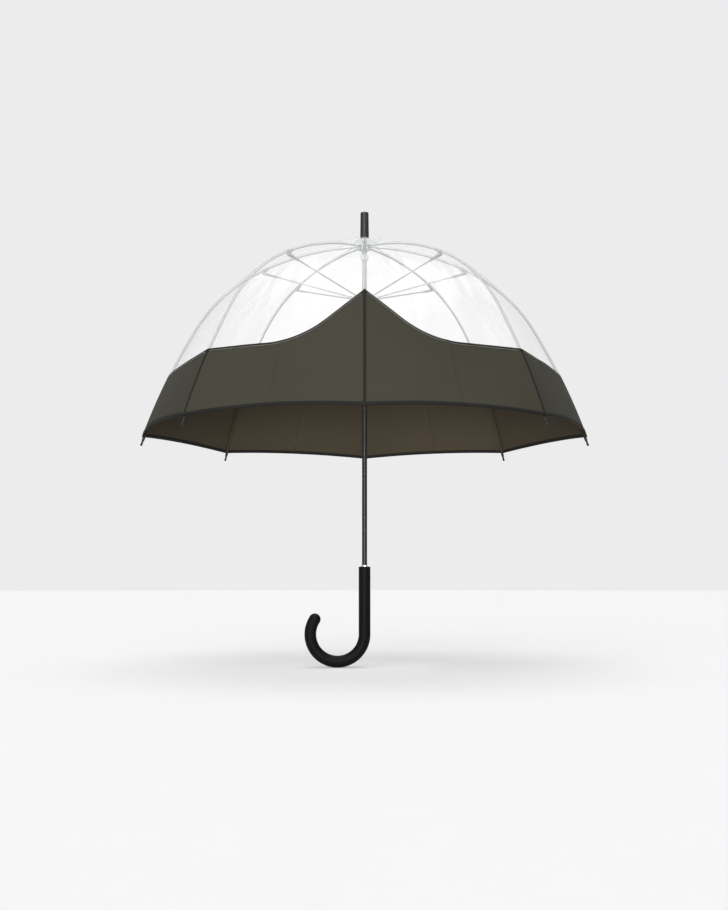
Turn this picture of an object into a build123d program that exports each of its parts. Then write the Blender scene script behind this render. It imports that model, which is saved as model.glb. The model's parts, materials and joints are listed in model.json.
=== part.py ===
from build123d import *
import math
import os

# Bubble umbrella with a crook handle, standing open on the lowest point of its crook.
# Millimetres. +Z runs up the shaft, the origin is on the shaft's axis under the crook.
# Rib 1 is at the front (-Y), and the others follow counter-clockwise seen from above.
# In every rib's own plane, a point is (radius from the shaft's axis, height).

# Heights along the shaft, from the ground up and from the ferrule's top down
TOTAL_HEIGHT = 910.0
FERRULE_LENGTH = 53.0
NOTCH_BELOW_FERRULE = 19.0
UPPER_TUBE_LENGTH = 297.0
GRIP_TOP_Z = 196.0
SHAFT_SEAT_Z = 106.0

# Shaft: a bright upper tube over a black lower tube
SHAFT_D = 10.0
SHAFT_WALL = 0.8
SPIGOT_LENGTH = 30.0
SPIGOT_SHOULDER = 4.0
SHAFT_IN_FERRULE = 40.0
FIT = 0.02
RUNNING_FIT = 0.1

FERRULE_BASE_Z = TOTAL_HEIGHT - FERRULE_LENGTH
NOTCH_PIVOT_Z = FERRULE_BASE_Z - NOTCH_BELOW_FERRULE
SHAFT_JOIN_Z = FERRULE_BASE_Z + SHAFT_IN_FERRULE - UPPER_TUBE_LENGTH
SHAFT_R = SHAFT_D / 2
BORE_R = SHAFT_R - SHAFT_WALL

# Crook handle
GRIP_D = 23.0
CROOK_RADIUS = 53.0
CROOK_RISE_DEG = 33.0
GRIP_EDGE = 1.5
COLLAR_WALL = 1.5
COLLAR_LENGTH = 9.0
COLLAR_SHOWS = 2.6
COLLAR_CHAMFER = 0.6

# Ferrule
FERRULE_TOP_D = 16.3
FERRULE_BASE_D = 17.6
FERRULE_EDGE = 1.6

# Notch and runner, which carry the ribs and the struts on ring wires
RIB_COUNT = 8
HUB_RADIUS = 10.0
HUB_RIM = 2.0
WIRE_D = 1.4
WIRE_GROOVE = 2.0
NOTCH_BELOW_PIVOT = 6.0
NOTCH_ABOVE_PIVOT = 5.5
NOTCH_ROOF = 2.7
RUNNER_SLEEVE_D = 15.0
RUNNER_CROWN_HALF = 5.0
RUNNER_LENGTH = 82.0
RUNNER_FLANGE_D = 22.0
RUNNER_FLANGE_T = 7.0
RUNNER_FLANGE_EDGE = 2.0
STOP_COLLAR_D = 16.0
STOP_COLLAR_LENGTH = 10.0
STOP_COLLAR_DROP = 17.0
STOP_COLLAR_CHAMFER = 0.8

# Dome line: where the ribs' centre lines run
JOINT_RADIUS = 206.0
JOINT_DROP = 49.5
SHOULDER_RADIUS = 340.0
SHOULDER_DROP = 174.0
RIM_RADIUS = 437.5
RIM_DROP = 384.5
CROWN_RISE = 10.5
ROD_D = 3.0
TIP_OVERHANG = 8.0

JOINT = (JOINT_RADIUS, NOTCH_PIVOT_Z - JOINT_DROP)
SHOULDER = (SHOULDER_RADIUS, NOTCH_PIVOT_Z - SHOULDER_DROP)
RIM = (RIM_RADIUS, NOTCH_PIVOT_Z - RIM_DROP)

# Strut joint under each rib
PIN_DROP = 4.5
PIN_D = 2.0
PIN_FIT = 0.06
LUG_T = 3.0
LUG_EYE_D = 4.8
SIDE_GAP = 0.3
BLOCK_LENGTH = 12.0
BLOCK_WIDTH = 6.0
BLOCK_TOP = 2.1
BLOCK_BOTTOM = 2.5
BLOCK_EDGE = 0.8
GUSSET_SETBACK = 3.0
GUSSET_OVERLAP = 1.5
GUSSET_FOOT = 1.2
GUSSET_INSET = 0.4
GUSSET_LIP = 0.6
KNUCKLE_OVER_ROD = 0.6
KNUCKLE_GAP = 0.3
ROD_SEAT = 0.06
EYE_D = 4.4
EYE_FIT = 0.25
FORK_CHEEK_T = 1.4
FORK_HEIGHT = 4.0
FORK_SLOT_LENGTH = 9.0
FORK_WEB = 2.0
SLEEVE_D = 5.0
SLEEVE_START = 13.0
SLEEVE_LENGTH = 14.0

# How far the linkage closes: the radius of the strut pins when folded
FOLDED_PIN_RADIUS = 17.0

# Rib tips
TIP_SOCKET_D = 5.4
TIP_SOCKET_LENGTH = 10.0
TIP_NECK_D = 3.8
TIP_LENGTH = 20.0
TIP_TAPER = 1.5
TIP_BALL_D = 5.0

# Canopy: clear film above, woven band below
RIB_TO_FILM = 3.0
FILM_T = 0.4
BAND_T = 0.6
SEAM_GAP = 0.4
FILM_HOLE_GAP = 1.6
FILM_APEX_BELOW_FERRULE = 1.0
CROWN_TUCK_RADIUS = 65.0
HEM_BELOW_RIM = 1.0
RIM_SCALLOP = 6.5
BAND_SIDE_HEIGHT = 124.5
BAND_SIDE_DROOP = 6.0
BAND_PEAK_HEIGHT = 215.5
BAND_PEAK_SLOPE = 0.93
BAND_PEAK_BEND = 153.0
BAND_EDGE_GAP = 0.4

# Catches: leaf springs inside the shaft, at the back
CATCH_WIDTH = 2.4
CATCH_LEAF_T = 0.8
CATCH_LEAF_LENGTH = 40.0
CATCH_NOSE_HEIGHT = 13.0
CATCH_NOSE_PROUD = 3.4
CATCH_BARREL_D = 1.6
CATCH_SLOT_GAP = 0.5
CATCH_SLOT_END_GAP = 1.5
WINDOW_BELOW_CROWN = 38.0
WINDOW_HEIGHT = 16.0
WINDOW_WIDTH = 3.6

HALF_STEP_DEG = 180.0 / RIB_COUNT
COLLAR_D = SHAFT_D + 2 * COLLAR_WALL
ROD_R = ROD_D / 2
EYE_T = ROD_D
KNUCKLE_D = ROD_D + KNUCKLE_OVER_ROD
HUB_D = 2 * (HUB_RADIUS + HUB_RIM)
HUB_SLOT = EYE_T + 2 * SIDE_GAP
HEM_Z = RIM[1] - HEM_BELOW_RIM
BAND_SIDE_Z = HEM_Z + BAND_SIDE_HEIGHT
BAND_PEAK_Z = HEM_Z + BAND_PEAK_HEIGHT

# Cuts through one wall of the shaft or the runner start here, inside the bore
CUT_START = BORE_R / 2


def polar(angle_deg):
    """The unit vector at an angle in a rib's plane."""
    a = math.radians(angle_deg)
    return math.cos(a), math.sin(a)


def moved(point, direction, distance):
    return point[0] + direction[0] * distance, point[1] + direction[1] * distance


class RibArc:
    """An arc of the dome line from start, leaving along heading, to end."""

    def __init__(self, start, heading_deg, end):
        chord = math.hypot(end[0] - start[0], end[1] - start[1])
        chord_deg = math.degrees(math.atan2(end[1] - start[1], end[0] - start[0]))
        lean = chord_deg - heading_deg
        self.side = math.copysign(1, lean)
        self.radius = chord / (2 * math.sin(math.radians(abs(lean))))
        self.start_deg = heading_deg
        self.end_deg = heading_deg + 2 * lean
        self.centre = moved(start, polar(heading_deg + 90 * self.side), self.radius)

    def point(self, share, out=0.0):
        """The point at a share of the arc, out above the dome line."""
        heading = self.start_deg + share * (self.end_deg - self.start_deg)
        reach = self.radius - out * self.side
        return moved(self.centre, polar(heading - 90 * self.side), reach)

    def share_at_radius(self, radius, out=0.0):
        """The share of the arc at which the line out above it has this radius."""
        reach = self.radius - out * self.side
        level = math.degrees(math.asin((radius - self.centre[0]) / reach))
        return (-level - self.start_deg) / (self.end_deg - self.start_deg)

    def edge(self, out=0.0, first=0.0, last=1.0):
        middle = (first + last) / 2
        return ThreePointArc(*[in_rib_plane(self.point(s, out)) for s in (first, middle, last)])


def in_rib_plane(point):
    return Vector(point[0], 0, point[1])


def crown_heading():
    """The slope at which a rib leaves the notch, from how far its first stretch bulges."""
    dr = JOINT[0] - HUB_RADIUS
    dz = JOINT[1] - NOTCH_PIVOT_Z
    chord = math.hypot(dr, dz)
    half_turn = 2 * math.atan(2 * CROWN_RISE / chord)
    return math.degrees(math.atan2(dz, dr) + half_turn)


CROWN_ARC = RibArc((HUB_RADIUS, NOTCH_PIVOT_Z), crown_heading(), JOINT)
SHOULDER_ARC = RibArc(JOINT, CROWN_ARC.end_deg, SHOULDER)
SKIRT_ARC = RibArc(SHOULDER, SHOULDER_ARC.end_deg, RIM)

# The linkage is isosceles: rib pivot, strut pin and runner pivot
JOINT_DEG = CROWN_ARC.end_deg
PIN = moved(JOINT, polar(JOINT_DEG - 90), PIN_DROP)
LINK = math.hypot(PIN[0] - HUB_RADIUS, NOTCH_PIVOT_Z - PIN[1])
OPEN_DEG = math.degrees(math.asin((NOTCH_PIVOT_Z - PIN[1]) / LINK))
FOLDED_DEG = math.degrees(math.acos((FOLDED_PIN_RADIUS - HUB_RADIUS) / LINK))
RUNNER_PIVOT_Z = NOTCH_PIVOT_Z - 2 * (NOTCH_PIVOT_Z - PIN[1])
RUNNER_TRAVEL = 2 * LINK * (math.sin(math.radians(FOLDED_DEG)) - math.sin(math.radians(OPEN_DEG)))
RUNNER_TOP_Z = RUNNER_PIVOT_Z + RUNNER_CROWN_HALF
RUNNER_BASE_Z = RUNNER_TOP_Z - RUNNER_LENGTH
WINDOW_Z = RUNNER_TOP_Z - WINDOW_BELOW_CROWN


def tube(radius, bore, low, high):
    """An upright tube on the shaft's axis."""
    height = high - low
    solid = Cylinder(radius, height) - Cylinder(bore, height)
    return Pos(0, 0, (low + high) / 2) * solid


def upright(radius, low, high):
    return Pos(0, 0, (low + high) / 2) * Cylinder(radius, high - low)


def back_box(width, near, far, low, high):
    """A box at the back of the shaft, from near to far along +Y."""
    place = Pos(0, (near + far) / 2, (low + high) / 2)
    return place * Box(width, far - near, high - low)


def barrel(diameter, length, point):
    """A short cylinder across a rib's plane."""
    return Pos(in_rib_plane(point)) * Rot(90, 0, 0) * Cylinder(diameter / 2, length)


def rod(path, diameter):
    section = Plane(origin=path @ 0, z_dir=path % 0) * Circle(diameter / 2)
    return sweep(section, path=path)


def along(point, heading_deg):
    """A frame at a point of a rib's plane: X along the heading, Y across the plane, Z outward."""
    x = polar(heading_deg)
    z = polar(heading_deg + 90)
    return Plane(origin=in_rib_plane(point), x_dir=in_rib_plane(x), z_dir=in_rib_plane(z))


# ---------------------------------------------------------------- shaft and handle

def catch_slot(window_z):
    half = CATCH_NOSE_HEIGHT / 2 + CATCH_SLOT_END_GAP
    width = CATCH_WIDTH + 2 * CATCH_SLOT_GAP
    return back_box(width, CUT_START, SHAFT_D, window_z - half, window_z + half)


def shaft_upper():
    top = FERRULE_BASE_Z + SHAFT_IN_FERRULE
    return tube(SHAFT_R, BORE_R, SHAFT_JOIN_Z, top) - catch_slot(WINDOW_Z)


def shaft_lower():
    """The lower tube, narrowed at its top into a spigot that enters the upper one."""
    shoulder_z = SHAFT_JOIN_Z - FIT
    neck_z = shoulder_z - SPIGOT_SHOULDER
    throat = BORE_R - SHAFT_WALL
    body = tube(SHAFT_R, BORE_R, SHAFT_SEAT_Z, neck_z)
    body += tube(SHAFT_R, throat, neck_z, shoulder_z)
    body += tube(BORE_R - FIT, throat, shoulder_z, SHAFT_JOIN_Z + SPIGOT_LENGTH)
    return body - catch_slot(WINDOW_Z - RUNNER_TRAVEL)


def handle():
    """A straight grip that turns into a crook and ends in a round nose."""
    crook_z = CROOK_RADIUS + GRIP_D / 2
    centre = (-CROOK_RADIUS, crook_z)
    turn = 180 + CROOK_RISE_DEG
    ends = [moved(centre, polar(-turn * share), CROOK_RADIUS) for share in (0, 0.5, 1)]
    grip = upright(GRIP_D / 2, crook_z, GRIP_TOP_Z)
    grip = fillet(grip.edges().group_by(Axis.Z)[-1], GRIP_EDGE)
    crook = rod(ThreePointArc(*[in_rib_plane(p) for p in ends]), GRIP_D)
    nose = Pos(in_rib_plane(ends[2])) * Sphere(GRIP_D / 2)
    body = grip + crook + nose
    body -= upright(SHAFT_R + FIT, SHAFT_SEAT_Z - FIT, GRIP_TOP_Z)
    collar_seat_z = GRIP_TOP_Z + COLLAR_SHOWS - COLLAR_LENGTH - FIT
    return body - upright(COLLAR_D / 2 + FIT, collar_seat_z, GRIP_TOP_Z)


def handle_collar():
    top = GRIP_TOP_Z + COLLAR_SHOWS
    ring = tube(COLLAR_D / 2, SHAFT_R + FIT, top - COLLAR_LENGTH, top)
    return chamfer(ring.edges().group_by(Axis.Z)[-1].sort_by(SortBy.RADIUS)[-1], COLLAR_CHAMFER)


def ferrule():
    place = Pos(0, 0, FERRULE_BASE_Z + FERRULE_LENGTH / 2)
    body = place * Cone(FERRULE_BASE_D / 2, FERRULE_TOP_D / 2, FERRULE_LENGTH)
    body = fillet(body.edges().group_by(Axis.Z)[-1], FERRULE_EDGE)
    return body - upright(SHAFT_R + FIT, FERRULE_BASE_Z, FERRULE_BASE_Z + SHAFT_IN_FERRULE + FIT)


def stop_collar():
    top = NOTCH_PIVOT_Z - STOP_COLLAR_DROP
    ring = tube(STOP_COLLAR_D / 2, SHAFT_R + FIT, top - STOP_COLLAR_LENGTH, top)
    rims = ring.edges().filter_by(GeomType.CIRCLE).group_by(SortBy.RADIUS)[-1]
    return chamfer(rims, STOP_COLLAR_CHAMFER)


# ---------------------------------------------------------------- notch and runner

def hub_slots(inner_radius, low, high):
    """The radial slots that the ribs or struts swing in."""
    length = HUB_D - inner_radius
    slot = Pos(inner_radius + length / 2, 0, (low + high) / 2) * Box(length, HUB_SLOT, high - low)
    return [Rot(0, 0, k * 2 * HALF_STEP_DEG) * slot for k in range(RIB_COUNT)]


def wire_groove(pivot_z):
    return tube(HUB_D, HUB_RADIUS - WIRE_GROOVE / 2, pivot_z - WIRE_GROOVE / 2, pivot_z + WIRE_GROOVE / 2)


def ring_wire(pivot_z):
    return Pos(0, 0, pivot_z) * Torus(HUB_RADIUS, WIRE_D / 2)


def slot_floor():
    """Where the hub slots stop, just inside the eyes of the ribs."""
    return HUB_RADIUS - EYE_D / 2 - SIDE_GAP


def notch():
    low = NOTCH_PIVOT_Z - NOTCH_BELOW_PIVOT
    high = NOTCH_PIVOT_Z + NOTCH_ABOVE_PIVOT
    body = tube(HUB_D / 2, SHAFT_R + FIT, low, high)
    for slot in hub_slots(slot_floor(), low, high - NOTCH_ROOF):
        body -= slot
    return body - wire_groove(NOTCH_PIVOT_Z)


def runner():
    bore = SHAFT_R + RUNNING_FIT
    crown_low = RUNNER_PIVOT_Z - RUNNER_CROWN_HALF
    body = tube(HUB_D / 2, bore, crown_low, RUNNER_TOP_Z)
    body += tube(RUNNER_SLEEVE_D / 2, bore, RUNNER_BASE_Z, crown_low)
    flange = tube(RUNNER_FLANGE_D / 2, bore, RUNNER_BASE_Z, RUNNER_BASE_Z + RUNNER_FLANGE_T)
    rims = flange.edges().filter_by(GeomType.CIRCLE).group_by(SortBy.RADIUS)[-1]
    body += fillet(rims, RUNNER_FLANGE_EDGE)
    for slot in hub_slots(RUNNER_SLEEVE_D / 2, crown_low, RUNNER_TOP_Z):
        body -= slot
    body -= wire_groove(RUNNER_PIVOT_Z)
    half = WINDOW_HEIGHT / 2
    return body - back_box(WINDOW_WIDTH, CUT_START, RUNNER_FLANGE_D, WINDOW_Z - half, WINDOW_Z + half)


def catch(window_z, way):
    """A leaf spring with a hooked nose. way is 1 if its flat face is up, -1 if it is down."""
    flat = window_z + way * CATCH_NOSE_HEIGHT / 2
    slope = window_z - way * CATCH_NOSE_HEIGHT / 2
    pivot = slope - way * CATCH_LEAF_LENGTH
    outer = BORE_R - CATCH_LEAF_T
    inner = outer - CATCH_LEAF_T
    reach = SHAFT_R + CATCH_NOSE_PROUD
    nose_mid = flat - way * CATCH_NOSE_HEIGHT / 4
    outline = [
        (inner, flat),
        (reach, flat),
        (reach, nose_mid),
        (outer, slope),
        (outer, pivot),
        (inner, pivot),
    ]
    side = make_face(Polyline(*[Vector(0, y, z) for y, z in outline], close=True))
    body = extrude(side, amount=CATCH_WIDTH / 2, both=True)
    body += Pos(0, (inner + outer) / 2, pivot) * Rot(0, 90, 0) * Cylinder(CATCH_BARREL_D / 2, CATCH_WIDTH)
    return body


# ---------------------------------------------------------------- ribs and struts

def eye(point):
    return barrel(EYE_D, EYE_T, point)


def eye_hole(point):
    return barrel(WIRE_D + 2 * EYE_FIT, 2 * EYE_T, point)


def inner_rib():
    """The rod from the notch to the strut joint, and the moulded block clamped on its end."""
    pivot = (HUB_RADIUS, NOTCH_PIVOT_Z)
    setback = (KNUCKLE_D / 2 + KNUCKLE_GAP) / CROWN_ARC.radius
    last = 1 - math.degrees(setback) / abs(CROWN_ARC.end_deg - CROWN_ARC.start_deg)
    line = CROWN_ARC.edge(last=last)
    bar = rod(line, ROD_D) + eye(pivot) - eye_hole(pivot)
    return [bar, joint_block()]


def joint_block():
    frame = along(JOINT, JOINT_DEG)
    back = -(KNUCKLE_D / 2 + KNUCKLE_GAP + BLOCK_LENGTH)
    height = BLOCK_TOP + BLOCK_BOTTOM
    place = Pos(back + BLOCK_LENGTH / 2, 0, (BLOCK_TOP - BLOCK_BOTTOM) / 2)
    block = place * Box(BLOCK_LENGTH, BLOCK_WIDTH, height)
    block = fillet(block.edges().filter_by(Axis.X), BLOCK_EDGE)
    eye_r = LUG_EYE_D / 2
    foot_z = GUSSET_INSET - PIN_DROP - eye_r
    outline = [
        (back + GUSSET_SETBACK, GUSSET_OVERLAP - BLOCK_BOTTOM),
        (back + GUSSET_SETBACK, -BLOCK_BOTTOM),
        (-GUSSET_FOOT, foot_z),
        (GUSSET_FOOT, foot_z),
        (eye_r - GUSSET_INSET, -PIN_DROP),
        (back + BLOCK_LENGTH - GUSSET_INSET, GUSSET_LIP - BLOCK_BOTTOM),
    ]
    gusset = make_face(Polyline(*[in_rib_plane(p) for p in outline], close=True))
    lug = extrude(gusset, amount=LUG_T / 2, both=True)
    across = Rot(90, 0, 0)
    centre = Pos(0, 0, -PIN_DROP)
    lug += centre * across * Cylinder(eye_r, LUG_T)
    pin_length = LUG_T + 2 * (SIDE_GAP + FORK_CHEEK_T)
    lug += centre * across * Cylinder(PIN_D / 2, pin_length)
    bore = Rot(0, 90, 0) * Cylinder(ROD_R + ROD_SEAT, 4 * BLOCK_LENGTH)
    return frame * ((block + lug) - bore)


def outer_rib():
    """The rod from the strut joint to the rim, with a knuckle at its inner end."""
    line = Curve() + [SHOULDER_ARC.edge(), SKIRT_ARC.edge()]
    end = moved(RIM, polar(SKIRT_ARC.end_deg), TIP_OVERHANG)
    line += Line(in_rib_plane(RIM), in_rib_plane(end))
    bar = rod(Wire(line.edges()), ROD_D)
    return [bar + barrel(KNUCKLE_D, EYE_T, JOINT)]


def rib_tip():
    """A moulded cap with a socket for the rib, a neck and a ball."""
    socket_r = TIP_SOCKET_D / 2
    neck_r = TIP_NECK_D / 2
    ball_z = TIP_LENGTH - TIP_BALL_D / 2
    outline = Polyline((0, 0), (socket_r, 0), (socket_r, TIP_SOCKET_LENGTH - TIP_TAPER),
                       (neck_r, TIP_SOCKET_LENGTH), (neck_r, ball_z), (0, ball_z), close=True)
    cap = revolve(make_face(Plane.XZ * outline), Axis.Z)
    cap += Pos(0, 0, ball_z) * Sphere(TIP_BALL_D / 2)
    cap -= Pos(0, 0, (TIP_OVERHANG + FIT) / 2) * Cylinder(ROD_R + ROD_SEAT, TIP_OVERHANG + FIT)
    heading = polar(SKIRT_ARC.end_deg)
    frame = Plane(origin=in_rib_plane(RIM), x_dir=(0, 1, 0), z_dir=in_rib_plane(heading))
    return [frame * cap]


def strut():
    """The rod from the runner to the rib's pin, and the fork pressed on its outer end."""
    frame = along(PIN, 180 + OPEN_DEG)
    start = SLEEVE_START + FORK_WEB
    bar = lengthwise(ROD_R, start, LINK)
    bar += Pos(LINK, 0, 0) * Rot(90, 0, 0) * Cylinder(EYE_D / 2, EYE_T)
    bar -= Pos(LINK, 0, 0) * Rot(90, 0, 0) * Cylinder(WIRE_D / 2 + EYE_FIT, 2 * EYE_T)
    gap = LUG_T + 2 * SIDE_GAP
    width = gap + 2 * FORK_CHEEK_T
    fork = Pos(SLEEVE_START / 2, 0, 0) * Box(SLEEVE_START, width, FORK_HEIGHT)
    fork += Rot(90, 0, 0) * Cylinder(FORK_HEIGHT / 2, width)
    fork += lengthwise(SLEEVE_D / 2, SLEEVE_START, SLEEVE_START + SLEEVE_LENGTH)
    slot = Box(FORK_SLOT_LENGTH + FORK_HEIGHT, gap, 2 * FORK_HEIGHT)
    fork -= Pos(FORK_SLOT_LENGTH / 2 - FORK_HEIGHT, 0, 0) * slot
    fork -= Rot(90, 0, 0) * Cylinder(PIN_D / 2 + PIN_FIT, 2 * width)
    fork -= lengthwise(ROD_R + FIT, start - FIT, SLEEVE_START + SLEEVE_LENGTH)
    return [frame * bar, frame * fork]


def lengthwise(radius, first, last):
    """A cylinder along the strut, between two distances from its pin."""
    return Pos((first + last) / 2, 0, 0) * Rot(0, 90, 0) * Cylinder(radius, last - first)


# ---------------------------------------------------------------- canopy

def canopy_profile(inside, outside):
    """The canopy's section in a rib's plane, between two distances out from the dome line."""
    apex = (SHAFT_R + FILM_HOLE_GAP, FERRULE_BASE_Z - FILM_APEX_BELOW_FERRULE)
    tuck = CROWN_ARC.share_at_radius(CROWN_TUCK_RADIUS, outside)
    tuck_deg = CROWN_ARC.start_deg + tuck * (CROWN_ARC.end_deg - CROWN_ARC.start_deg)
    cone = RibArc(CROWN_ARC.point(tuck, outside), tuck_deg + 180, apex)
    end = polar(SKIRT_ARC.end_deg)
    edges = []
    ends = []
    for out in (outside, inside):
        past = moved(SKIRT_ARC.point(1, out), end, TIP_OVERHANG)
        edges.append(cone.edge(outside - out))
        edges.append(CROWN_ARC.edge(out, first=tuck))
        edges.append(SHOULDER_ARC.edge(out))
        edges.append(SKIRT_ARC.edge(out))
        edges.append(Line(in_rib_plane(SKIRT_ARC.point(1, out)), in_rib_plane(past)))
        ends.append((cone.point(1, outside - out), past))
    for a, b in zip(*ends):
        edges.append(Line(in_rib_plane(a), in_rib_plane(b)))
    return make_face(edges)


def gore(inside, outside):
    """One gore, flat from rib to rib, with its middle along +X."""
    face = canopy_profile(inside, outside)
    chord = 2 * (RIM[0] + outside + TIP_OVERHANG) * math.sin(math.radians(HALF_STEP_DEG))
    sheet = extrude(Rot(0, 0, -HALF_STEP_DEG) * face, amount=chord, dir=(0, 1, 0))
    reach = 2 * RIM[0]
    spread = reach * math.tan(math.radians(HALF_STEP_DEG))
    tip = SEAM_GAP / 2 / math.sin(math.radians(HALF_STEP_DEG))
    wedge = make_face(Polyline((tip, 0), (tip + reach, -spread), (tip + reach, spread), close=True))
    return sheet & extrude(wedge, amount=TOTAL_HEIGHT)


def peak_side(shift):
    """The band's top edge across a gore with a peak at its first rib, raised by shift."""
    peak_y = -band_half_chord(BAND_PEAK_Z)
    bend_y = peak_y + (BAND_PEAK_Z - BAND_SIDE_Z) / BAND_PEAK_SLOPE
    run = RIM[0] + peak_y
    start = (peak_y - run, BAND_PEAK_Z + run * BAND_PEAK_SLOPE + shift)
    corner = (bend_y, BAND_SIDE_Z + shift)
    return FilletPolyline(start, corner, (RIM[0], BAND_SIDE_Z + shift), radius=BAND_PEAK_BEND)


def plain_side(shift):
    """The band's top edge across a gore at the side: a slight droop."""
    half = band_half_chord(BAND_SIDE_Z)
    middle = BAND_SIDE_Z - BAND_SIDE_DROOP + shift
    return ThreePointArc((-half, BAND_SIDE_Z + shift), (0, middle), (half, BAND_SIDE_Z + shift))


def band_half_chord(z):
    """Half of the canopy's width from rib to rib at a height."""
    arc = SKIRT_ARC if z < SHOULDER[1] else SHOULDER_ARC
    reach = arc.radius + RIB_TO_FILM
    radius = arc.centre[0] + math.sqrt(reach ** 2 - (z - arc.centre[1]) ** 2)
    return radius * math.sin(math.radians(HALF_STEP_DEG))


def region(edge, far_z):
    """The block of a gore above or below an edge drawn across it."""
    first = edge @ 0
    last = edge @ 1
    rest = Polyline((last.X, last.Y), (last.X, far_z), (first.X, far_z), (first.X, first.Y))
    face = make_face(Plane.YZ * (Curve() + [edge, rest]))
    return extrude(face, amount=2 * RIM[0], dir=(1, 0, 0))


def widened(edge, half):
    """A sideways extension, so that an edge that stops at the ribs cuts right across."""
    a = edge @ 0
    b = edge @ 1
    return Curve() + [Line((-half, a.Y), (a.X, a.Y)), edge, Line((b.X, b.Y), (half, b.Y))]


def top_edge(peaked, shift):
    if peaked:
        return peak_side(shift)
    return widened(plain_side(shift), RIM[0])


def rim_edge():
    half = band_half_chord(HEM_Z)
    return widened(ThreePointArc((-half, HEM_Z), (0, HEM_Z + RIM_SCALLOP), (half, HEM_Z)), RIM[0])


def film_panel(peaked):
    cut = region(Wire(top_edge(peaked, BAND_EDGE_GAP).edges()), TOTAL_HEIGHT)
    return gore(RIB_TO_FILM, RIB_TO_FILM + FILM_T) & cut


def band_panel(peaked):
    below = region(Wire(top_edge(peaked, 0).edges()), 0)
    above = region(Wire(rim_edge().edges()), TOTAL_HEIGHT)
    return gore(RIB_TO_FILM, RIB_TO_FILM + BAND_T) & below & above


def canopy_panels():
    """The film and the band of each gore. Those beside the front and back ribs have a peak."""
    plain = film_panel(False), band_panel(False)
    rising = film_panel(True), band_panel(True)
    falling = [mirror(p, about=Plane.XZ) for p in rising]
    quarter = RIB_COUNT // 4
    panels = []
    for k in range(RIB_COUNT):
        place = k % (RIB_COUNT // 2)
        kind = rising if place == 0 else falling if place == 2 * quarter - 1 else plain
        turn = Rot(0, 0, -90 + (2 * k + 1) * HALF_STEP_DEG)
        panels.append([turn * p for p in kind])
    return panels


# ---------------------------------------------------------------- the parts

def save(name, solids):
    """Write one node, from a solid or a list of separate solids."""
    if not isinstance(solids, (list, tuple)):
        solids = [solids]
    pieces = [s for part in solids for s in part.solids()]
    shape = pieces[0] if len(pieces) == 1 else Compound(children=pieces)
    export_step(shape, f"parts/{name}.step")


def main():
    os.makedirs("parts", exist_ok=True)
    save("shaft_upper", shaft_upper())
    save("shaft_lower", shaft_lower())
    save("handle", handle())
    save("handle_collar", handle_collar())
    save("ferrule", ferrule())
    save("stop_collar", stop_collar())
    save("notch", notch())
    save("notch_wire", ring_wire(NOTCH_PIVOT_Z))
    save("runner", runner())
    save("runner_wire", ring_wire(RUNNER_PIVOT_Z))
    save("top_catch", catch(WINDOW_Z, 1))
    save("bottom_catch", catch(WINDOW_Z - RUNNER_TRAVEL, -1))
    in_plane = {"inner_rib": inner_rib(), "outer_rib": outer_rib(), "rib_tip": rib_tip(), "strut": strut()}
    for k, (film, band) in enumerate(canopy_panels()):
        turn = Rot(0, 0, -90 + 2 * k * HALF_STEP_DEG)
        for name, solids in in_plane.items():
            save(f"{name}_{k + 1}", [turn * s for s in solids])
        save(f"film_panel_{k + 1}", film)
        save(f"band_panel_{k + 1}", band)
    print(f"pin {PIN[0]:.3f} {PIN[1]:.3f}, link {LINK:.3f}, runner pivot {RUNNER_PIVOT_Z:.3f}")
    print(f"open {OPEN_DEG:.3f} folded {FOLDED_DEG:.3f} degrees, runner travel {RUNNER_TRAVEL:.3f}")


main()
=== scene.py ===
import json
import math
from functools import partial

import bpy
import numpy as np
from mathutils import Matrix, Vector, noise


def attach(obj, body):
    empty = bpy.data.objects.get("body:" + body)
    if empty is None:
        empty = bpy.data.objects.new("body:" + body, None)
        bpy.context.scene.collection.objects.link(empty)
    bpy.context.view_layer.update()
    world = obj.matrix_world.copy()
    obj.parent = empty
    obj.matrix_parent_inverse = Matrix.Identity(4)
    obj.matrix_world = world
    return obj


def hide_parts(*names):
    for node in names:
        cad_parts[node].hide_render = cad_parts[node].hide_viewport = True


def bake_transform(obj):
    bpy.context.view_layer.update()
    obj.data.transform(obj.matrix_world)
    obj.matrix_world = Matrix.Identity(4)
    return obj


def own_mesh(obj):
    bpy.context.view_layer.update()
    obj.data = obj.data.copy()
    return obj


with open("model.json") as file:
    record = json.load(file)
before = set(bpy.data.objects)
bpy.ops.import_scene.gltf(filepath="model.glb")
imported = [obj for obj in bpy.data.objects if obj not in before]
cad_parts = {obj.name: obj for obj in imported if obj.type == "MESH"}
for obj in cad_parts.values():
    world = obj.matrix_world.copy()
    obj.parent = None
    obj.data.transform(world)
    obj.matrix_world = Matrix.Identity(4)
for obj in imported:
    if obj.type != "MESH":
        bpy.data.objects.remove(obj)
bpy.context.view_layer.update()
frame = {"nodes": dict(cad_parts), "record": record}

# Bubble umbrella with a crook handle, open and standing on its crook. Metres, +Z up the shaft.
# The frame, ribs and handle are CAD nodes. The canopy is made here: clear film above a woven band with
# hems, seam tape and stitching. Its shape is worked out gore by gore, and each piece is cut from it to
# run from the middle of one gore to the middle of the next, centred on a rib.
# Gore k lies between rib k and the next one. Within it, u runs from -1 at rib k to 1 at the next.

GORES = 8
HALF_STEP = math.pi / GORES
SIN_HALF = math.sin(HALF_STEP)
COS_HALF = math.cos(HALF_STEP)

# The ribs' centre line in a rib's own plane: (radius, height)
HUB_PIVOT = (0.010, 0.838)
JOINT = (0.206, 0.7885)
SHOULDER = (0.340, 0.664)
RIM = (0.4375, 0.4535)
CROWN_RISE = 0.0105
TIP_OVERHANG = 0.008
TUCK_RADIUS = 0.065
APEX = (0.0066, 0.856)

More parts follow.
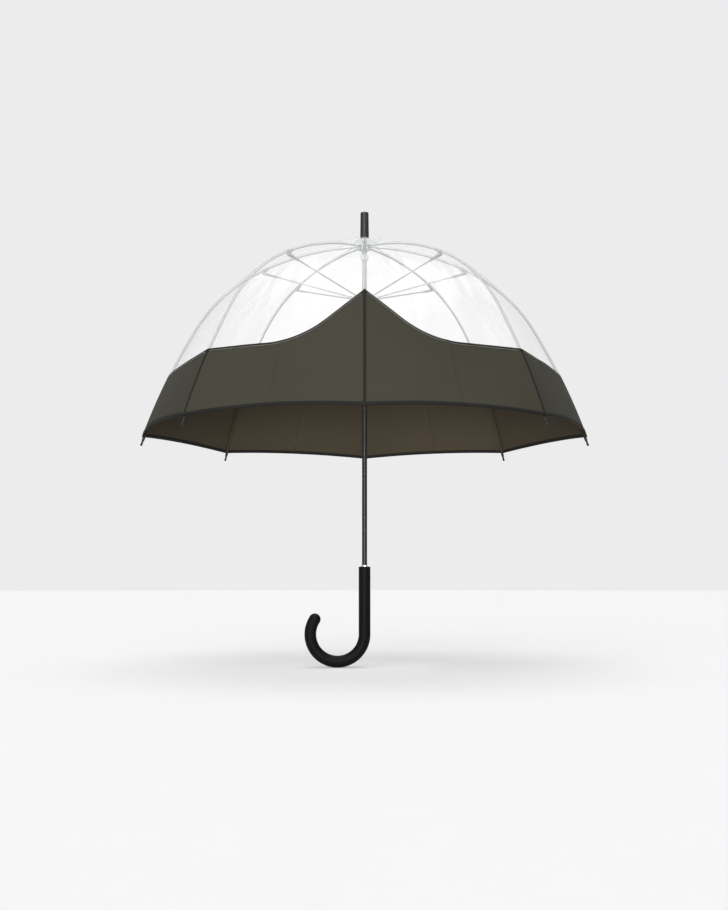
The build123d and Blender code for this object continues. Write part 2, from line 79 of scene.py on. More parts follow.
# Canopy
FILM_LIFT = 0.0031
BAND_LIFT = 0.0037
CROWN_BULGE = 0.15
RIM_BULGE = 0.50
CROWN_EDGE_RADIUS = 0.034
PATCH_RADIUS = 0.027
RIM_Z = 0.4525
RIM_SCALLOP = 0.0065
BAND_SIDE_Z = 0.577
BAND_SIDE_DROOP = 0.006
BAND_PEAK_Z = 0.668
BAND_PEAK_SLOPE = 0.93
BAND_PEAK_BEND = 0.153
LAP = 0.005
CLOTH_T = 0.0004

# Trim
HEM_WIDTH = 0.0070
HEM_T = 0.0011
TOP_HEM_WIDTH = 0.0062
TAPE_WIDTH = 0.0052
FILM_SEAM_WIDTH = 0.0026
STITCH_LENGTH = 0.0026
STITCH_STEP = 0.0038
STITCH_RADIUS = 0.00036
SLEEVE_HALF_WIDTH = 0.0022
SLEEVE_HALF_HEIGHT = 0.0026
SLEEVE_DROP = 0.0031
SLEEVE_SIDES = 12
SLEEVE_INSET = 0.002
TOP_HEM_T = 0.0006
TAPE_T = 0.0007
FILM_SEAM_T = 0.00035
SEAM_LIFT = 0.0003
SEAM_SLOPE = 0.35
PATCH_DROP = 0.0008
FOLD_HALF_WIDTH = 0.02
HEM_CENTRE = 0.45
TOP_STITCH_SHARE = 0.35
RIM_STITCH_SHARE = 0.30
STITCH_CLEARANCE = 0.01
STITCH_SIDES = 6
SLEEVE_UV_STEP = 0.001
# A tape's cross-section, (share of its width, share of its thickness)
TAPE_PROFILE = [(-0.5, 0.0), (-0.42, 1.0), (0.42, 1.0), (0.5, 0.0), (0.42, -0.35), (-0.42, -0.35)]
# Which way a tape's width runs, (along the meridian, across it)
DOWNWARD = (1, 0)
SIDEWAYS = (0, 1)
# A stitch's rings: (share of its length, share of its radius, how many radii it sinks)
STITCH_RINGS = ((0, 0.45, 0.9), (0.2, 1, 0.1), (0.8, 1, 0.1), (1, 0.45, 0.9))

# How far the sheets stand off their taut shapes
WAVE_BROAD = 0.0016
WAVE_FOLD = 0.0011
WAVE_CROWN = 0.0012
WAVE_CROWN_AT = 0.05
WAVE_CROWN_REACH = 0.06
WAVE_HUB_FADE = 0.02
CREASE_DEPTH = 0.0007
CREASE_MEAN = 0.6
CREASE_SPREAD = 0.4
CLOTH_WAVE = 0.0012

# A strut's moulded fork begins this far from the shaft
FORK_RADIUS = 0.1782
FORK_BLUR = 0.0003

# Camera
CAMERA_AT = (-0.0011, -2.3052, 0.1836)
CAMERA_TILT_DEG = 5.768
CAMERA_LENS_MM = 46.19
SENSOR_MM = 36.0

# Light: how bright the room shows, how strongly it lights, and what the floor gives back
BACKGROUND = 0.84
ROOM_LIGHT = 0.36
FLOOR_COLOR = 0.40
FLOOR_GLOW = 0.24

# The floor: a disc whose rings lie closer together near the middle
FLOOR_RADIUS = 10.4
FLOOR_RINGS = 24
FLOOR_SPOKES = 96
FLOOR_HOLE_SHARE = 0.001

# How finely things are sampled: (columns to each side of a rib, rows) for the canopy's pieces
UPPER_GRID = (21, 34)
LOWER_GRID = (26, 44)
CROWN_GRID = (9, 12)
PATCH_ROWS = 8
BAND_GRID = (31, 46)
ARC_SAMPLES = 120
CONE_SAMPLES = 60
SEAM_SAMPLES = 60
WIDTH_SAMPLES = 200
DEPTH_SAMPLES = 101
PEAK_ROUNDS = 30
NORMAL_PROBE = 0.001


# ---------------------------------------------------------------- the canopy's shape

def unit(angle):
    return np.array((math.cos(angle), math.sin(angle)))


class Arc:
    """An arc in a rib's plane, from start along heading to end."""

    def __init__(self, start, heading, end):
        start, end = np.array(start), np.array(end)
        chord = end - start
        lean = math.atan2(chord[1], chord[0]) - heading
        self.side = math.copysign(1, lean)
        self.radius = np.hypot(*chord) / (2 * math.sin(abs(lean)))
        self.heading = heading
        self.turn = 2 * lean
        self.end_heading = heading + self.turn
        self.centre = start + self.radius * unit(heading + self.side * math.pi / 2)

    def sample(self, first, last, count):
        """Points and outward normals from one share of the arc to another."""
        headings = self.heading + np.linspace(first, last, count) * self.turn
        normals = np.array([unit(h + math.pi / 2) for h in headings])
        return self.centre - self.side * self.radius * normals, normals

    def share_at_radius(self, radius, out):
        reach = self.radius - out * self.side
        heading = -math.asin((radius - self.centre[0]) / reach)
        return (heading - self.heading) / self.turn


class Meridian:
    """The canopy's line in a rib's plane, from the ferrule to the rim, measured along itself."""

    def __init__(self, lift):
        chord = np.subtract(JOINT, HUB_PIVOT)
        half_turn = 2 * math.atan(2 * CROWN_RISE / np.hypot(*chord))
        crown = Arc(HUB_PIVOT, math.atan2(chord[1], chord[0]) + half_turn, JOINT)
        shoulder = Arc(JOINT, crown.end_heading, SHOULDER)
        skirt = Arc(SHOULDER, shoulder.end_heading, RIM)
        tuck = crown.share_at_radius(TUCK_RADIUS, lift)
        lines = []
        for arc, first in ((crown, tuck), (shoulder, 0), (skirt, 0)):
            at, normal = arc.sample(first, 1, ARC_SAMPLES)
            lines.append((at + lift * normal, normal))
        tuck_at, tuck_normal = lines[0][0][0], lines[0][1][0]
        tuck_heading = math.atan2(tuck_normal[1], tuck_normal[0]) - math.pi / 2
        cone = Arc(tuck_at, tuck_heading + math.pi, APEX)
        at, normal = cone.sample(0, 1, CONE_SAMPLES)
        lines.insert(0, (at[::-1], -normal[::-1]))
        end = unit(skirt.end_heading)
        rim = lines[-1][0][-1]
        lines.append((np.array([rim, rim + TIP_OVERHANG * end]), np.array([lines[-1][1][-1]] * 2)))
        self.at = np.vstack([line[0] for line in lines])
        self.normal = np.vstack([line[1] for line in lines])
        steps = np.hypot(*np.diff(self.at, axis=0).T)
        self.along = np.concatenate(([0], np.cumsum(steps)))

    def radius(self, s):
        return np.interp(s, self.along, self.at[:, 0])

    def height(self, s):
        return np.interp(s, self.along, self.at[:, 1])

    def outward(self, s):
        return np.interp(s, self.along, self.normal[:, 0]), np.interp(s, self.along, self.normal[:, 1])

    def s_at_height(self, z):
        """How far along the line its outer, falling part reaches a height."""
        first = np.searchsorted(self.at[:, 0], TUCK_RADIUS)
        return np.interp(-z, -self.at[first:, 1], self.along[first:])

    def s_at_radius(self, radius):
        return np.interp(radius, self.at[:, 0], self.along)


FILM_LINE = Meridian(FILM_LIFT)
BAND_LINE = Meridian(BAND_LIFT)
FLEX_S = FILM_LINE.s_at_radius(JOINT[0])


def peak_edge(y):
    """The top edge's height across a gore whose first rib carries a peak."""
    peak_y = -SIN_HALF * BAND_LINE.radius(BAND_LINE.s_at_height(BAND_PEAK_Z))
    corner = peak_y + (BAND_PEAK_Z - BAND_SIDE_Z) / BAND_PEAK_SLOPE
    slope = math.atan(BAND_PEAK_SLOPE)
    reach = BAND_PEAK_BEND * math.tan(slope / 2)
    straight = BAND_SIDE_Z + (corner - y) * BAND_PEAK_SLOPE
    flat_y = corner + reach
    inside = np.clip(BAND_PEAK_BEND ** 2 - (flat_y - y) ** 2, 0, None)
    round_part = BAND_SIDE_Z + BAND_PEAK_BEND - np.sqrt(inside)
    edge = np.where(y < corner - reach * math.cos(slope), straight, round_part)
    return np.where(y > flat_y, BAND_SIDE_Z, edge)


def side_edge(u):
    return BAND_SIDE_Z - BAND_SIDE_DROOP * (1 - u * u)


def band_top(k, u):
    """The height of the band's top edge on gore k. The front and back ribs carry the peaks."""
    turn = k % (GORES // 2)
    if turn not in (0, GORES // 2 - 1):
        return side_edge(u)
    across = u if turn == 0 else -u
    z = np.full_like(u, BAND_SIDE_Z)
    for _ in range(PEAK_ROUNDS):
        z = peak_edge(across * SIN_HALF * BAND_LINE.radius(BAND_LINE.s_at_height(z)))
    return z


def rim_bottom(u):
    return RIM_Z + RIM_SCALLOP * (1 - u * u)


def ripple(k, s, u):
    """How far the clear film stands off its taut shape: slack waves, none at the ribs."""
    p = Vector((3.1 * k + 1.7 * u, s * 9.0, 0.4 * k))
    broad = noise.noise(p)
    fold = noise.noise(Vector((6.5 * u + 5.0 * k, s * 4.0, 2.0)))
    crown = math.exp(-((s - WAVE_CROWN_AT) / WAVE_CROWN_REACH) ** 2) * math.cos(5 * math.pi * u + k)
    waves = WAVE_BROAD * broad + WAVE_FOLD * fold + WAVE_CROWN * crown
    return waves * (1 - u ** 4) * min(1.0, s / WAVE_HUB_FADE)


def crease(k, u):
    """The pressed fold down the middle of each band gore, deeper on some than on others."""
    depth = CREASE_MEAN + CREASE_SPREAD * math.cos(2.4 * k)
    return CREASE_DEPTH * math.exp(-(u / FOLD_HALF_WIDTH) ** 2) * depth


def unevenness(k, s, u):
    """The band cloth's slight waves, none at the ribs."""
    p = Vector((2.2 * u + 7.3 * k, s * 11.0, 0.0))
    return CLOTH_WAVE * noise.noise(p) * (1 - u * u)


def gore_turn(k):
    return -math.pi / 2 + (2 * k + 1) * HALF_STEP


def on_gore(line, k, s, u, out=0.0):
    """The point of gore k that is s along the meridian and u across, out above the sheet."""
    radius, height = line.radius(s), line.height(s)
    normal_r, normal_z = line.outward(s)
    lower = min(1.0, max(0.0, (JOINT[1] - height) / (JOINT[1] - RIM_Z)))
    share = CROWN_BULGE + (RIM_BULGE - CROWN_BULGE) * lower * lower
    bulge = share * radius * (1 - COS_HALF) * (1 - u * u)
    reach = radius * COS_HALF + bulge + out * normal_r
    across = radius * SIN_HALF * u
    turn = gore_turn(k)
    x = reach * math.cos(turn) - across * math.sin(turn)
    y = reach * math.sin(turn) + across * math.cos(turn)
    return Vector((x, y, height + out * normal_z))


def film_point(k, s, u, out=0.0):
    return on_gore(FILM_LINE, k, s, u, out + ripple(k, s, u))


def band_point(k, s, u, out=0.0):
    return on_gore(BAND_LINE, k, s, u, out + crease(k, u) + unevenness(k, s, u))


# ---------------------------------------------------------------- mesh building

class Builder:
    """Collects quads with UVs in metres and a material number for each."""

    def __init__(self):
        self.points = []
        self.faces = []
        self.uvs = []
        self.kinds = []

    def grid(self, rows, uv_rows, kind=0, closed=False):
        """Quads between rows of points. Closed rows join their last point to their first."""
        base = len(self.points)
        width = len(rows[0])
        for row in rows:
            self.points.extend(row)
        span = width if closed else width - 1
        for i in range(len(rows) - 1):
            for j in range(span):
                corners = ((i, j), (i + 1, j), (i + 1, j + 1), (i, j + 1))
                self.faces.append([base + a * width + b % width for a, b in corners])
                self.uvs.append([uv_rows[a][b % width] for a, b in corners])
                self.kinds.append(kind)

    def cap(self, row_start, width, kind=0, flip=False):
        face = list(range(row_start, row_start + width))
        self.faces.append(face[::-1] if flip else face)
        self.uvs.append([(0.0, 0.0)] * width)
        self.kinds.append(kind)

    def bar(self, rows, uv_rows, kind=0):
        """A closed solid lofted through rings of points, turned so that its faces look out."""
        base = len(self.points)
        width = len(rows[0])
        first_face = len(self.faces)
        self.grid(rows, uv_rows, kind, closed=True)
        self.cap(base, width, kind)
        self.cap(base + (len(rows) - 1) * width, width, kind, flip=True)
        middle = sum(rows[0], Vector()) / width
        ahead = sum(rows[1], Vector()) / width - middle
        ring = rows[1]
        turning = sum(((ring[q - 1] - middle).cross(ring[q] - middle) for q in range(width)), Vector())
        if turning.dot(ahead) > 0:
            for n in range(first_face, len(self.faces)):
                self.faces[n].reverse()
                self.uvs[n] = self.uvs[n][::-1]

    def finish(self, name, materials):
        mesh = bpy.data.meshes.new(name)
        mesh.from_pydata([tuple(p) for p in self.points], [], self.faces)
        layer = mesh.uv_layers.new(name="metres")
        flat = [c for face in self.uvs for uv in face for c in uv]
        layer.data.foreach_set("uv", flat)
        for material in materials:
            mesh.materials.append(material)
        mesh.polygons.foreach_set("material_index", self.kinds)
        mesh.polygons.foreach_set("use_smooth", [True] * len(self.faces))
        mesh.update()
        piece = bpy.data.objects.new(name, mesh)
        bpy.context.scene.collection.objects.link(piece)
        return piece


def patch(builder, place, s_of, columns, steps, kind=0, out=0.0):
    """A sheet over the columns' u (or v), from s_of(u)[0] to s_of(u)[1] along the meridian."""
    rows, uvs = [], []
    for j in range(steps + 1):
        share = j / steps
        row, uv_row = [], []
        for u in columns:
            low, high = s_of(u)
            s = low + (high - low) * share
            row.append(place(s, u, out))
            uv_row.append((u * SIN_HALF * FILM_LINE.radius(s), s))
        rows.append(row)
        uvs.append(uv_row)
    builder.grid(rows, uvs, kind)


def strip(builder, place, path, width_way, kind, thickness, width):
    """A flat rounded tape along path, a list of (s, u). width_way is (s, u) per metre of its width."""
    rows, uvs = [], []
    travelled = 0.0
    last = None
    ds, du = width_way
    for s, u in path:
        ring = [place(s + ds * width * a, u + du * width * a, thickness * b) for a, b in TAPE_PROFILE]
        middle = place(s, u, 0.0)
        if last is not None:
            travelled += (middle - last).length
        last = middle
        rows.append(ring)
        uvs.append([(width * a, travelled) for a, b in TAPE_PROFILE])
    builder.bar(rows, uvs, kind)


def stitches(builder, points, normals, kind):
    """A row of short threads along a line of points, each a little capsule lying on the cloth."""
    gaps = [(b - a).length for a, b in zip(points, points[1:])]
    total = sum(gaps)
    along = [0.0]
    for gap in gaps:
        along.append(along[-1] + gap)
    count = int(total / STITCH_STEP)
    xs = [[p[i] for p in points] for i in range(3)]
    ns = [[n[i] for n in normals] for i in range(3)]

    def at(d, table):
        return Vector([np.interp(d, along, values) for values in table])

    for i in range(count):
        start = (i + 0.5) * STITCH_STEP - STITCH_LENGTH / 2
        a, b = at(start, xs), at(start + STITCH_LENGTH, xs)
        up = at(start + STITCH_LENGTH / 2, ns).normalized()
        side = (b - a).cross(up).normalized()
        rings = []
        for share, size, sink in STITCH_RINGS:
            middle = a.lerp(b, share) - up * STITCH_RADIUS * sink
            ring = []
            for q in range(STITCH_SIDES):
                angle = 2 * math.pi * q / STITCH_SIDES
                way = side * math.cos(angle) + up * math.sin(angle)
                ring.append(middle + STITCH_RADIUS * size * way)
            rings.append(ring)
        builder.bar(rings, [[(0.0, 0.0)] * STITCH_SIDES] * len(STITCH_RINGS), kind)


def normal_at(place, s, u):
    return (place(s, u, NORMAL_PROBE) - place(s, u, 0.0)).normalized()


# ---------------------------------------------------------------- materials

def shader(name):
    """A new material: its node tree, its Principled node and a function that adds a node."""
    material = bpy.data.materials.new(name)
    material.use_nodes = True
    tree = material.node_tree
    principled = tree.nodes["Principled BSDF"]

    def add(kind, links=None, **values):
        node = tree.nodes.new(kind)
        for key, value in values.items():
            setattr(node, key, value)
        for socket, source in (links or {}).items():
            if isinstance(source, bpy.types.NodeSocket):
                tree.links.new(source, node.inputs[socket])
            else:
                node.inputs[socket].default_value = source
        return node

    return material, tree, principled, add


def ramp(add, source, low, high, from_low=0.3, from_high=0.7):
    """source's range, mapped to low and high."""
    links = {"Value": source, "From Min": from_low, "From Max": from_high,
             "To Min": low, "To Max": high}
    return add("ShaderNodeMapRange", links).outputs["Result"]


def tinted(add, factor, dark, light, dark_source=None):
    """A colour between dark, or the one from dark_source, and light."""
    node = add("ShaderNodeMix", data_type="RGBA")
    node.inputs["A"].default_value = (*dark, 1)
    node.inputs["B"].default_value = (*light, 1)
    node.id_data.links.new(factor, node.inputs["Factor"])
    if dark_source:
        node.id_data.links.new(dark_source, node.inputs["A"])
    return node.outputs["Result"]


def shade(color, share):
    return tuple(c * share for c in color)


def noise_map(add, vector, scale, detail=3.0, roughness=0.5):
    links = {"Vector": vector, "Scale": scale, "Detail": detail, "Roughness": roughness}
    return add("ShaderNodeTexNoise", links).outputs["Fac"]


def stretched(add, vector, scale):
    return add("ShaderNodeMapping", {"Vector": vector, "Scale": scale}).outputs["Vector"]


def bumped(add, tree, principled, height, strength, distance):
    node = add("ShaderNodeBump", {"Height": height, "Strength": strength, "Distance": distance})
    tree.links.new(node.outputs["Normal"], principled.inputs["Normal"])


def solid_look(name, color, roughness, metallic=0.0, grain=(1, 1, 1), grain_size=400.0, spread=0.12,
               rough_spread=0.12, bump=0.15, bump_depth=0.0001, coat=0.0, specular=0.5, fork_color=None):
    """A hard or rubbery material with fine grain, slow colour drift and worn, uneven gloss."""
    material, tree, principled, add = shader(name)
    place = add("ShaderNodeTexCoord").outputs["Object"]
    fine = noise_map(add, stretched(add, place, grain), grain_size)
    broad = noise_map(add, place, 14.0)
    both = add("ShaderNodeMath", {0: fine, 1: broad}, operation="ADD").outputs[0]
    mix = ramp(add, both, 0.0, 1.0, 0.7, 1.3)
    colour = tinted(add, mix, shade(color, 1 - spread), shade(color, 1 + spread))
    if fork_color:
        radius = add("ShaderNodeVectorMath", {0: stretched(add, place, (1, 1, 0))}, operation="LENGTH")
        in_fork = ramp(add, radius.outputs["Value"], 0.0, 1.0, FORK_RADIUS - FORK_BLUR, FORK_RADIUS)
        colour = tinted(add, in_fork, color, fork_color, colour)
    tree.links.new(colour, principled.inputs["Base Color"])
    gloss = ramp(add, broad, roughness - rough_spread / 2, roughness + rough_spread / 2)
    tree.links.new(gloss, principled.inputs["Roughness"])
    principled.inputs["Metallic"].default_value = metallic
    principled.inputs["Coat Weight"].default_value = coat
    principled.inputs["Specular IOR Level"].default_value = specular
    bumped(add, tree, principled, fine, bump, bump_depth)
    return material


# The scale at which Blender's wave texture makes one band per unit, about pi / 10
WAVE_TEXTURE_STEP = 0.314


def cloth_look(name, color, thread_step=0.00055, sheen=0.01, roughness=0.75, specular=0.08):
    """A tight plain weave, with the threads' ups and downs and slow drift of colour."""
    material, tree, principled, add = shader(name)
    uv = add("ShaderNodeUVMap", uv_map="metres").outputs["UV"]
    place = add("ShaderNodeTexCoord").outputs["Object"]
    turns = 1 / (2 * thread_step)
    waves = []
    for direction in ("X", "Y"):
        links = {"Vector": uv, "Scale": turns * WAVE_TEXTURE_STEP, "Distortion": 0.4, "Detail": 1.0,
                 "Detail Scale": 3.0}
        waves.append(add("ShaderNodeTexWave", links, bands_direction=direction).outputs["Fac"])
    weave = add("ShaderNodeMath", {0: waves[0], 1: waves[1]}, operation="MULTIPLY").outputs[0]
    slub = noise_map(add, stretched(add, uv, (40.0, 900.0, 1.0)), 1.0)
    broad = noise_map(add, place, 6.0, detail=4.0)
    uneven = add("ShaderNodeMath", {0: slub, 1: broad}, operation="ADD").outputs[0]
    drift = add("ShaderNodeMath", {0: weave, 1: 0.35, 2: uneven}, operation="MULTIPLY_ADD").outputs[0]
    colour = tinted(add, ramp(add, drift, 0.0, 1.0, 0.7, 1.6), shade(color, 0.84), shade(color, 1.14))
    tree.links.new(colour, principled.inputs["Base Color"])
    tree.links.new(ramp(add, broad, roughness - 0.05, roughness + 0.06), principled.inputs["Roughness"])
    principled.inputs["Sheen Weight"].default_value = sheen
    principled.inputs["Sheen Roughness"].default_value = 0.4
    principled.inputs["Specular IOR Level"].default_value = specular
    bumped(add, tree, principled, weave, 0.5, 0.00012)
    return material


def film_look(name, haze, edge, gloss=0.10, streaks=0.10, color=(0.97, 0.98, 0.98)):
    """Clear soft plastic sheet: nearly nothing face on, brighter at a slant, with faint streaks of painted
    reflection off its wrinkles.
    """
    material, tree, principled, add = shader(name)
    place = add("ShaderNodeTexCoord").outputs["Object"]
    uv = add("ShaderNodeUVMap", uv_map="metres").outputs["UV"]
    facing = add("ShaderNodeLayerWeight", {"Blend": 0.32}).outputs["Fresnel"]
    slant = ramp(add, facing, haze, edge, 0.05, 0.85)
    streak_noise = noise_map(add, stretched(add, uv, (22.0, 5.0, 1.0)), 1.0, detail=5.0, roughness=0.6)
    # The streaks add pale opacity along the noise: painted reflections off the film's wrinkles. The same
    # noise also varies the gloss.
    streak = ramp(add, streak_noise, 0.0, streaks, 0.52, 0.78)
    seen = add("ShaderNodeMath", {0: slant, 1: streak}, operation="ADD", use_clamp=True).outputs[0]
    tree.links.new(seen, principled.inputs["Alpha"])
    principled.inputs["Base Color"].default_value = (*color, 1)
    principled.inputs["Metallic"].default_value = 0.15
    principled.inputs["Specular IOR Level"].default_value = 0.8
    tree.links.new(ramp(add, streak_noise, gloss, gloss + 0.12), principled.inputs["Roughness"])
    soft = noise_map(add, stretched(add, place, (9.0, 9.0, 4.0)), 1.0, detail=4.0)
    bumped(add, tree, principled, soft, 0.35, 0.004)
    return material


def make_materials():
    dark = dict(roughness=0.6, specular=0.04)
    return {
        "cloth": cloth_look("band_cloth", (0.0246, 0.0234, 0.0168)),
        # The inner face of the same cloth, given a lighter, browner colour as painted backlight: the light
        # that shines through the thin fabric.
        "inside_painted_backlight": cloth_look("band_inside_painted_backlight", (0.0385, 0.0310, 0.0205), specular=0.05),
        "binding": cloth_look("band_binding", (0.0100, 0.0105, 0.0090), **dark),
        "thread": solid_look("thread", (0.34, 0.33, 0.28), 0.6, grain_size=3000.0, bump=0.3),
        "film": film_look("clear_film", haze=0.09, edge=0.30),
        "film_seam": film_look("film_seam", haze=0.10, edge=0.50, streaks=0.05, color=(0.30, 0.31, 0.31)),
        "film_patch": film_look("film_patch", haze=0.26, edge=0.50, color=(0.84, 0.89, 0.92)),
    }


NODE_LOOKS = {
    "bright_steel": dict(color=(0.74, 0.75, 0.76), roughness=0.24, metallic=0.9, grain=(1, 1, 0.02),
                         grain_size=900.0, spread=0.06, bump=0.06),
    "black_lacquer": dict(color=(0.008, 0.008, 0.008), roughness=0.36, grain=(1, 1, 0.03), spread=0.2,
                          specular=0.3),
    "dark_lacquer": dict(color=(0.016, 0.017, 0.014), roughness=0.36, grain=(1, 1, 0.03), spread=0.12,
                         specular=0.3),
    "soft_grip": dict(color=(0.0042, 0.0042, 0.0040), roughness=0.50, grain_size=900.0, spread=0.2, bump=0.35,
                      specular=0.06),
    "grey_plastic": dict(color=(0.44, 0.45, 0.45), roughness=0.34, grain_size=700.0, spread=0.06),
    "black_plastic": dict(color=(0.007, 0.007, 0.006), roughness=0.45, grain_size=700.0, spread=0.2,
                          specular=0.2),
    "rib_grey": dict(color=(0.28, 0.29, 0.29), roughness=0.36, grain_size=1200.0, spread=0.10),
}
FORK_COLOR = (0.25, 0.26, 0.26)


def dress_nodes():
    """Give each CAD node that stays in view the procedural look of its slot."""
    looks = {name: solid_look(name, **values) for name, values in NODE_LOOKS.items()}
    strut_look = solid_look("strut_grey", **NODE_LOOKS["rib_grey"], fork_color=FORK_COLOR)
    for row in frame["record"]["subparts"]:
        node, slot = row["node"], row["material_slot"]
        if slot not in looks:
            continue
        mesh = frame["nodes"][node].data
        mesh.materials.clear()
        mesh.materials.append(strut_look if node.startswith("strut_") else looks[slot])


# ---------------------------------------------------------------- canopy pieces

# Each piece is centred on a rib. Across it, v runs from -1 at the middle of the gore before the
# rib, through 0 at the rib, to 1 at the middle of the gore after it.

def gore_and_u(k, v):
    return ((k - 1) % GORES, v + 1) if v < 0 else (k, v - 1)


def about_rib(point_on_gore):
    """Turns a point function of a gore into one of a rib: (k, s, v, out) to a point."""

    def place(k, s, v, out=0.0):
        gore, u = gore_and_u(k, v)
        point = point_on_gore(gore, s, u, out)
        if v == 0:
            point = (point + point_on_gore((k - 1) % GORES, s, 1.0, out)) / 2
        return point

    return place


film_place = about_rib(film_point)
band_place = about_rib(band_point)


def rib_turn(k):
    return gore_turn(k) - HALF_STEP


def rib_place(line, k, s, across, lift):
    """A point beside rib k: across metres from its plane and lift above the sheet."""
    radius, height = line.radius(s), line.height(s)
    normal_r, normal_z = line.outward(s)
    reach = radius + lift * normal_r
    turn = rib_turn(k)
    x = reach * math.cos(turn) - across * math.sin(turn)
    y = reach * math.sin(turn) + across * math.cos(turn)
    return Vector((x, y, height + lift * normal_z))


def spread_vs(count):
    """v values across a piece, with a few more beside the pressed folds in the gores' middles."""
    half = np.linspace(0, 1, count)
    half = np.concatenate((half, (1 - FOLD_HALF_WIDTH, 1 - FOLD_HALF_WIDTH / 2)))
    return sorted(set(np.round(np.concatenate((-half, half)), 5)))


def fold_away(piece, k):
    """Gives the piece its own copy of its mesh."""
    turn = rib_turn(k)
    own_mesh(piece)


def cut_size(line, low, high):
    """The flat cut between two places on the meridian: its greatest width, its length and its area."""
    widths = 2 * SIN_HALF * line.radius(np.linspace(low, high, WIDTH_SAMPLES))
    return (float(widths.max()), float(high - low)), float(widths.mean() * (high - low))


def over_seam(line, k, s, across, out):
    """A point on what covers rib k's seam, which slopes down to both sides."""
    return rib_place(line, k, s, across, out + SEAM_LIFT - SEAM_SLOPE * abs(across))


def seam_strip(builder, line, k, low, high, kind, thickness, width):
    """A tape over rib k from one place on the meridian to another."""
    path = [(s, 0.0) for s in np.linspace(low, high, SEAM_SAMPLES)]
    strip(builder, partial(over_seam, line, k), path, SIDEWAYS, kind, thickness, width)


def film_seam(builder, k, low, high, kind):
    """The welded seam over rib k."""
    seam_strip(builder, FILM_LINE, k, low, high, kind, FILM_SEAM_T, FILM_SEAM_WIDTH)


def upper_film(k, looks):
    low, high = FILM_LINE.s_at_radius(CROWN_EDGE_RADIUS), FLEX_S
    columns, rows = UPPER_GRID
    builder = Builder()
    patch(builder, partial(film_place, k), lambda v: (low, high), spread_vs(columns), rows)
    film_seam(builder, k, low, high, 1)
    piece = builder.finish(f"film_upper_{k + 1}", [looks["film"], looks["film_seam"]])
    flat, area = cut_size(FILM_LINE, low, high)
    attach(piece, f"inner_{k + 1}")
    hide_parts(f"film_panel_{k + 1}")
    fold_away(piece, k)


def lower_film(k, looks):
    columns, rows = LOWER_GRID
    vs = spread_vs(columns)
    ends = {v: low + LAP for v, (low, _) in band_ends(k, vs).items()}
    builder = Builder()
    patch(builder, partial(film_place, k), lambda v: (FLEX_S, ends[v]), vs, rows)
    film_seam(builder, k, FLEX_S, ends[0.0] - LAP, 1)
    piece = builder.finish(f"film_lower_{k + 1}", [looks["film"], looks["film_seam"]])
    flat, area = cut_size(FILM_LINE, FLEX_S, max(ends.values()))
    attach(piece, f"outer_{k + 1}")
    fold_away(piece, k)


def crown_film(k, looks):
    """The film's innermost part, gathered at the ferrule, with a second, milky layer as a patch."""
    low, high = 0.0, FILM_LINE.s_at_radius(CROWN_EDGE_RADIUS)
    patch_end = FILM_LINE.s_at_radius(PATCH_RADIUS)
    place = partial(film_place, k)
    columns, rows = CROWN_GRID
    builder = Builder()
    patch(builder, place, lambda v: (low, high), spread_vs(columns), rows)
    patch(builder, place, lambda v: (low, patch_end), spread_vs(columns), PATCH_ROWS, 1, -PATCH_DROP)
    piece = builder.finish(f"film_crown_{k + 1}", [looks["film"], looks["film_patch"]])
    flat, _ = cut_size(FILM_LINE, low, high)
    out = Vector((math.cos(rib_turn(k)), math.sin(rib_turn(k)), 0))
    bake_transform(piece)


def band_ends(k, vs):
    """Where the band starts and ends along the meridian, for each v."""
    ends = {}
    for v in vs:
        gore, u = gore_and_u(k, v)
        top, bottom = band_top(gore, np.array([u]))[0], rim_bottom(u)
        ends[v] = BAND_LINE.s_at_height(top), BAND_LINE.s_at_height(bottom)
    return ends


def band_cloth(k, looks):
    columns, rows = BAND_GRID
    vs = spread_vs(columns)
    ends = band_ends(k, vs)
    builder = Builder()
    patch(builder, partial(band_place, k), lambda v: ends[v], vs, rows)
    piece = builder.finish(f"band_cloth_{k + 1}", [looks["cloth"], looks["inside_painted_backlight"]])
    thick = piece.modifiers.new("thickness", "SOLIDIFY")
    thick.thickness = CLOTH_T
    thick.offset = -1
    thick.use_even_offset = True
    # The inner faces take the second material, whose colour is painted backlight.
    thick.material_offset = 1
    apply_modifiers(piece)
    return piece


def apply_modifiers(piece):
    graph = bpy.context.evaluated_depsgraph_get()
    mesh = bpy.data.meshes.new_from_object(piece.evaluated_get(graph))
    piece.modifiers.clear()
    piece.data = mesh


def rib_sleeve(builder, k, low, high):
    """The narrow cloth tunnel that holds rib k under the band."""
    rows, uvs = [], []
    for s in np.linspace(low, high, SEAM_SAMPLES):
        ring = []
        for q in range(SLEEVE_SIDES):
            angle = 2 * math.pi * q / SLEEVE_SIDES
            across = SLEEVE_HALF_WIDTH * math.cos(angle)
            lift = SLEEVE_HALF_HEIGHT * math.sin(angle) - SLEEVE_DROP
            ring.append(rib_place(BAND_LINE, k, s, across, lift))
        rows.append(ring)
        uvs.append([(q * SLEEVE_UV_STEP, s) for q in range(SLEEVE_SIDES)])
    # The sleeve takes the cloth's inner-face colour, with its painted backlight.
    builder.bar(rows, uvs, 3)


